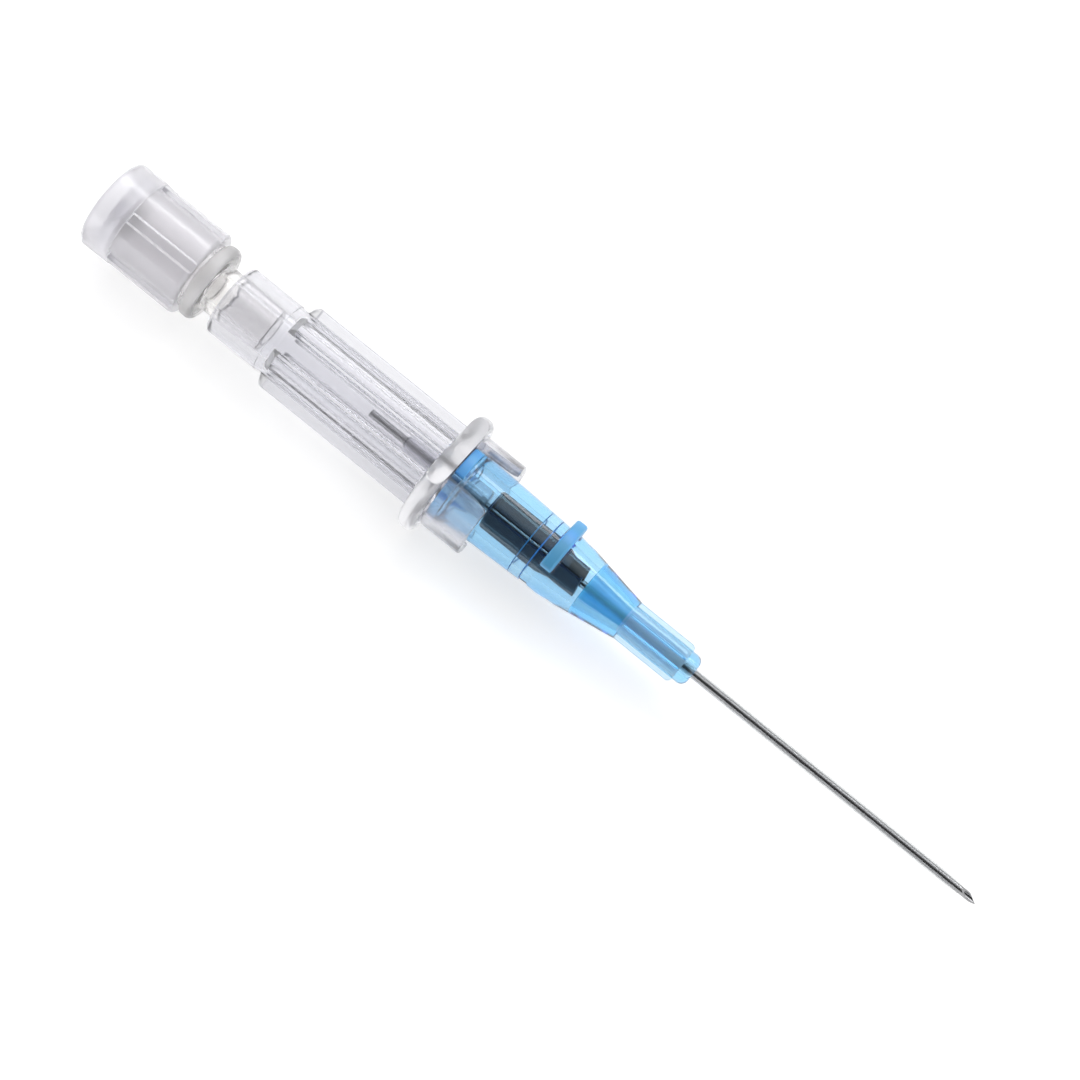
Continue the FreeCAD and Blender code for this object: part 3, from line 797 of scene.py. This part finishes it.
@dataclass
class Catheter:
    """Blue hub with its tab, ears and fins, and the tube in its ferrule."""

    mouth_radius: float = 2.135
    mouth_bevel: float = 0.12
    luer_end: float = 1.923
    rim_radius: float = 3.22
    rim_length: float = 1.05
    rim_round: float = 0.10
    rear_radius: float = 2.93
    waist_radius: float = 2.66
    ear_radius: float = 3.56
    ear_length: float = 0.80
    ear_half_angle: float = 23.0
    ear_corner: float = 3.0
    ear_bevel: float = 0.08
    tab_radius: float = 3.66
    tab_half_angle: float = 47.0
    tab_corner: float = 7.0
    tab_round: float = 0.22
    tab_foot: float = 0.12
    tab_texture_low: float = 3.02
    notch_rear: float = 40.89
    notch_depth: float = 0.16
    notch_half_angle: float = 75.0
    notch_corner: float = 5.0
    shoulder_radius: float = 2.52
    shoulder_reach: float = 0.60
    shoulder_slope: float = 0.06
    shoulder_sag: float = 0.012
    throat_radius: float = 1.68
    throat_edge: float = 0.04
    nose_radius: float = 1.27
    nose_round: float = 0.62
    fin_half: float = 0.31
    fin_crest: float = 1.64
    fin_bend: float = 1.47
    fin_corner: float = 0.14
    fin_ramp: float = 0.10
    fin_nose: float = 0.36
    fin_count: int = 6
    catch_depth: float = 0.14
    catch_slant: float = 0.10
    catch_texture_high: float = 2.43
    chest_end: float = 1.62
    funnel_rear: float = 1.15
    seat_radius: float = 0.77
    tube_hole: float = 0.405

    def finned(self, around: Around, crest: float) -> np.ndarray:
        """Nose radius with six fins standing out to the given crest."""
        skin = np.full(len(around.degrees), self.nose_radius)
        corner = min(self.fin_corner, max(crest - self.nose_radius, HAIR))
        for centre in spaced(self.fin_count):
            skin = np.maximum(skin, bar_reach(around.off(centre), self.fin_half, crest, corner))
        return skin

    def wall(self, station: float) -> float:
        """Radius of the wall that tapers from the rim to the tab."""
        rim_front = LAYOUT.hub_rear + self.rim_length
        share = (station - rim_front) / (LAYOUT.tab_rear - rim_front)
        return self.rear_radius + (self.waist_radius - self.rear_radius) * share

    def hub(self) -> bpy.types.Object:
        """The hub as one closed surface, bore and luer mouth included."""
        at = LAYOUT
        fin_edge = math.degrees(math.asin(self.fin_half / self.fin_bend))
        edges = (both_sides(spaced(self.fin_count), fin_edge) + both_sides((0.0,), self.tab_half_angle)
                 + both_sides((180.0,), self.notch_half_angle)
                 + both_sides((0.0, 180.0), self.ear_half_angle))
        skin = Turning(Around(edges, reach=4.0, fine=0.5, coarse=2.5))
        skin.line((at.catch_front, self.luer_end),
                  (at.catch_front - self.catch_slant, self.luer_end + self.catch_depth),
                  (at.luer_front + self.catch_slant, self.luer_end + self.catch_depth),
                  (at.luer_front, self.luer_end), (at.hub_rear, self.mouth_radius))
        self.ears_and_rim(skin)
        self.notch_and_tab(skin)
        self.shoulder_and_fins(skin)
        skin.bend(at.nose_front - self.nose_round, self.nose_radius - self.nose_round, self.nose_round,
                  90, 0, 8)
        skin.line((at.nose_front, self.tube_hole), (at.fin_front, self.tube_hole),
                  (at.fin_front, self.seat_radius), (at.funnel_front, self.seat_radius),
                  (at.chest_front, self.funnel_rear), (at.chest_front, self.chest_end))
        return skin.build("hub_moulding", HUB_PLASTIC.material())

    def ears_and_rim(self, skin: Turning) -> None:
        """Adds the rows of the bevelled mouth, the two ears and the rim in front of them."""
        rear, around = LAYOUT.hub_rear, skin.around
        ears = np.maximum(eased(around.off(0.0), self.ear_half_angle, self.ear_corner),
                          eased(around.off(180.0), self.ear_half_angle, self.ear_corner))
        crest = self.rim_radius + (self.ear_radius - self.rim_radius) * ears
        bevel, third = self.mouth_bevel, self.mouth_bevel / 3
        skin.line((rear, crest - bevel), (rear + third, crest - third), (rear + bevel, crest))
        ear_front, low = rear + self.ear_length, crest - self.ear_bevel
        skin.line((ear_front - self.ear_bevel, crest), (ear_front, low),
                  (ear_front, np.minimum(low, self.rim_radius)))
        rim_front, soft = rear + self.rim_length, self.rim_round
        skin.bend(rim_front - soft, self.rim_radius - soft, soft, 90, 0, 3)
        skin.line((rim_front, self.rear_radius + soft), (rim_front + soft, self.rear_radius))

    def notch_and_tab(self, skin: Turning) -> None:
        """Adds the rows of the tapering wall, the notch below and the tab above."""
        at, around = LAYOUT, skin.around
        notch = self.notch_depth * eased(around.off(180.0), self.notch_half_angle, self.notch_corner)
        skin.line((self.notch_rear - HAIR, self.wall(self.notch_rear)),
                  (self.notch_rear, self.wall(self.notch_rear) - notch),
                  (at.tab_rear - self.tab_foot, self.waist_radius - notch))
        raised = eased(around.off(0.0), self.tab_half_angle, self.tab_corner)
        foot = self.waist_radius + self.tab_foot * raised

        def tab(share: float) -> np.ndarray:
            crest = self.tab_radius - self.tab_round * (1 - share)
            return self.waist_radius + (crest - self.waist_radius) * raised

        skin.row(at.tab_rear, foot - notch)
        skin.rise(at.tab_rear, self.tab_round, tab, 6)
        skin.fall(at.tab_front, self.tab_round, tab, 6)
        skin.line((at.tab_front, foot - HAIR), (at.tab_front + self.tab_foot, self.waist_radius - HAIR))

    def shoulder_and_fins(self, skin: Turning) -> None:
        """Adds the rows of the soft shoulder, the cone in front of it and the nose with its fins."""
        at, around, edge = LAYOUT, skin.around, self.throat_edge
        cone = (self.shoulder_radius - self.throat_radius) / (at.fin_rear - at.shoulder)
        for off in np.linspace(-self.shoulder_reach, self.shoulder_reach, 5):
            slope = self.shoulder_slope if off <= 0 else cone
            skin.row(at.shoulder + off, self.shoulder_radius - self.shoulder_sag - slope * off)
        fins = self.finned(around, self.fin_crest)
        skin.line((at.fin_rear - edge, self.throat_radius), (at.fin_rear, self.throat_radius - edge),
                  (at.fin_rear, np.minimum(fins, self.throat_radius - edge)),
                  (at.fin_rear + self.fin_ramp, fins))
        foot = math.sqrt(self.nose_radius ** 2 - self.fin_half ** 2)
        skin.fall(at.fin_front, self.fin_nose,
                  lambda share: self.finned(around, foot + (self.fin_crest - foot) * share), 8)
        skin.row(at.fin_front + HAIR, self.nose_radius)

    def textured(self) -> tuple[Zone, ...]:
        """Ears, tab, the catch groove's slants, funnel and seat, which differ in their mould faces."""
        at = LAYOUT
        return (Zone(TAB_PLASTIC, at.hub_rear, at.hub_rear + self.ear_length, self.rim_radius + ZONE_MARGIN,
                     self.ear_radius),
                Zone(TAB_PLASTIC, at.tab_rear, at.tab_front, self.tab_texture_low, self.tab_radius),
                Zone(TAB_PLASTIC, at.catch_front - self.catch_slant, at.catch_front, 0.0,
                     self.catch_texture_high),
                Zone(TAB_PLASTIC, at.luer_front, at.luer_front + self.catch_slant, 0.0,
                     self.catch_texture_high),
                Zone(FUNNEL_PLASTIC, at.chest_front, at.funnel_front, 0.0, self.funnel_rear + ZONE_MARGIN),
                Zone(SEAT_PLASTIC, at.funnel_front, at.fin_front, 0.0, self.seat_radius + ZONE_MARGIN / 2))

    def build(self) -> None:
        """Makes and places the hub, and dresses the tube and its ferrule."""
        hub = self.hub()
        finish_zones(hub, self.textured())
        place(hub, Body.CATHETER, "catheter_hub")
        redress("tube_ferrule", FERRULE_PLASTIC.material())
        redress("catheter_tube", TUBE_PLASTIC.material())


@dataclass
class SafetyClip:
    """Folded strip that rides with the hub and closes over the needle's point."""

    edge_round: float = 0.04
    edge_steps: int = 2
    edge_angle: float = 50.0

    def build(self) -> None:
        """Dresses the clip and breaks its sheared edges."""
        clip = redress("safety_clip", CLIP_STEEL.material())
        bevel = clip.modifiers.new("broken_edges", "BEVEL")
        bevel.width = self.edge_round * MM
        bevel.segments = self.edge_steps
        bevel.limit_method = "ANGLE"
        bevel.angle_limit = math.radians(self.edge_angle)


def place(piece: bpy.types.Object, body: Body, node: str) -> None:
    """Puts a moulding in the place of its node and lets it ride on its body.

    Args:
        piece: The finished moulding.
        body: The rigid group that carries it.
        node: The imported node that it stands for.
    """
    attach(piece, body.value)
    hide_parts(node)
    LOG.info("%s stands for %s on %s", piece.name, node, body.value)


def redress(node: str, finish: bpy.types.Material) -> bpy.types.Object:
    """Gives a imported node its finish.

    Args:
        node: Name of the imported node.
        finish: The material.

    Returns:
        The node's object.
    """
    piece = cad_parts[node]
    for slot in piece.material_slots:
        slot.material = finish
    LOG.info("%s keeps its solid, finish %s", node, finish.name)
    return piece


@dataclass(frozen=True)
class SoftLamp:
    """Long soft lamp that faces the axis.

    It hangs so many degrees from overhead towards +Y. Width, distance and length are in metres, power in
    watts.
    """

    name: str
    from_top: float
    width: float
    power: float
    distance: float = 0.5
    length: float = 0.6

    def build(self) -> None:
        """Hangs the lamp."""
        data = bpy.data.lights.new(self.name, "AREA")
        data.shape = "RECTANGLE"
        data.size = self.length
        data.size_y = self.width
        data.energy = self.power
        lamp = add_object(self.name, data)
        angle = math.radians(self.from_top)
        lamp.location = (0.0, self.distance * math.sin(angle), self.distance * math.cos(angle))
        lamp.rotation_euler = (-angle, 0.0, 0.0)


LAMPS = (SoftLamp("soft_lamp_far", from_top=35.0, width=0.09, power=0.7),
         SoftLamp("soft_lamp_near", from_top=-84.0, width=0.06, power=0.2))


@dataclass
class Studio:
    """White table, bright surroundings with a dark card beside the lens, two lamps, and the camera.

    The table's reach and the near clip are in metres, the camera's distance and aim in millimetres.
    """

    floor_reach: float = 1.6
    table_colour: str = "#C4C4C4"
    table_glow: float = 0.68
    surround: float = 0.95
    card_grey: float = 0.03
    card_edge: float = 0.55
    card_heart: float = 0.85
    card_slant: float = 52.0
    near_clip: float = 0.01
    lens: float = 100.0
    distance: float = 218.19
    tilt: float = 4.0
    roll: float = 30.0
    turn: float = 39.0
    aim_station: float = 40.31
    aim_shift: float = 0.530

    def floor(self) -> None:
        """Pale matt table that shows as white where nothing shades it."""
        mesh = bpy.data.meshes.new("table")
        r = self.floor_reach
        mesh.from_pydata([(-r, -r, 0), (r, -r, 0), (r, r, 0), (-r, r, 0)], [], [(0, 1, 2, 3)])
        table = add_object("table", mesh)
        material = new_material("light_table")
        tree = material.node_tree
        sheet = add_node(tree, "ShaderNodeBsdfDiffuse", {"Color": linear(self.table_colour)})
        glow = add_node(tree, "ShaderNodeEmission", {"Color": linear("#FFFFFF"), "Strength": self.table_glow})
        both = add_node(tree, "ShaderNodeAddShader")
        tree.links.new(sheet.outputs["BSDF"], both.inputs[0])
        tree.links.new(glow.outputs["Emission"], both.inputs[1])
        add_node(tree, "ShaderNodeOutputMaterial", links={"Surface": both.outputs["Shader"]})
        mesh.materials.append(material)

    def toward_card(self) -> tuple[float, float, float]:
        """Direction of the dark card beside the lens, which keeps glare off the clear skins."""
        slant = math.radians(self.card_slant)
        return 0.0, -math.sin(slant), math.cos(slant)

    def surroundings(self) -> None:
        """Even light from all round but the card; seen directly, all of it is white."""
        world = bpy.data.worlds.new("studio")
        bpy.context.scene.world = world
        world.use_nodes = True
        tree = world.node_tree
        tree.nodes.clear()
        light = add_node(tree, "ShaderNodeLightPath")
        direction = add_node(tree, "ShaderNodeTexCoord")
        card = add_node(tree, "ShaderNodeVectorMath", {"operation": "DOT_PRODUCT"})
        tree.links.new(direction.outputs["Generated"], card.inputs[0])
        card.inputs[1].default_value = self.toward_card()
        shaded = add_node(tree, "ShaderNodeMapRange",
                          {"interpolation_type": "SMOOTHSTEP", "From Min": self.card_edge,
                           "From Max": self.card_heart, "To Min": self.surround, "To Max": self.card_grey},
                          {"Value": card.outputs["Value"]})
        strength = add_node(tree, "ShaderNodeMix", {"data_type": "FLOAT"})
        tree.links.new(light.outputs["Is Camera Ray"], strength.inputs[0])
        tree.links.new(shaded.outputs["Result"], strength.inputs[2])
        strength.inputs[3].default_value = 1.0
        glow = add_node(tree, "ShaderNodeBackground", {"Color": linear("#FFFFFF")},
                        {"Strength": strength.outputs[0]})
        add_node(tree, "ShaderNodeOutputWorld", links={"Surface": glow.outputs["Background"]})

    def camera(self) -> None:
        """Camera at the photograph's angle, with the tab towards the upper right."""
        tilt, roll, turn = (math.radians(a) for a in (self.tilt, self.roll, self.turn))
        forward = Vector((1.0, 0.0, 0.0))
        near = Vector((0.0, -math.sin(roll), math.cos(roll)))
        beside = Vector((0.0, math.cos(roll), math.sin(roll)))
        back = near * math.cos(tilt) + forward * math.sin(tilt)
        along = forward * math.cos(tilt) - near * math.sin(tilt)
        right = along * math.cos(turn) + beside * math.sin(turn)
        up = beside * math.cos(turn) - along * math.sin(turn)
        data = bpy.data.cameras.new("camera")
        data.lens = self.lens
        data.clip_start = self.near_clip
        camera = add_object("camera", data)
        aim = to_frame(self.aim_station, 0.0, 0.0) + beside * self.aim_shift * MM
        spot = aim + back * self.distance * MM
        turned = Matrix((right, up, back)).transposed().to_4x4()
        camera.matrix_world = Matrix.Translation(spot) @ turned
        bpy.context.scene.camera = camera

    def build(self) -> None:
        """Sets up the table, the light and the camera."""
        self.floor()
        self.surroundings()
        for lamp in LAMPS:
            lamp.build()
        self.camera()
        cycles = bpy.context.scene.cycles
        cycles.max_bounces = cycles.transmission_bounces = BOUNCES
        bpy.context.scene.view_settings.view_transform = "Standard"


def main() -> None:
    """Builds the studio and the sub-assemblies in order."""
    logging.basicConfig(level=logging.INFO)
    for part in (Studio(), VentPlug(), FlashbackChamber(), Catheter(), SafetyClip()):
        part.build()
        LOG.info("%s done", type(part).__name__)


if __name__ == "__main__":
    main()
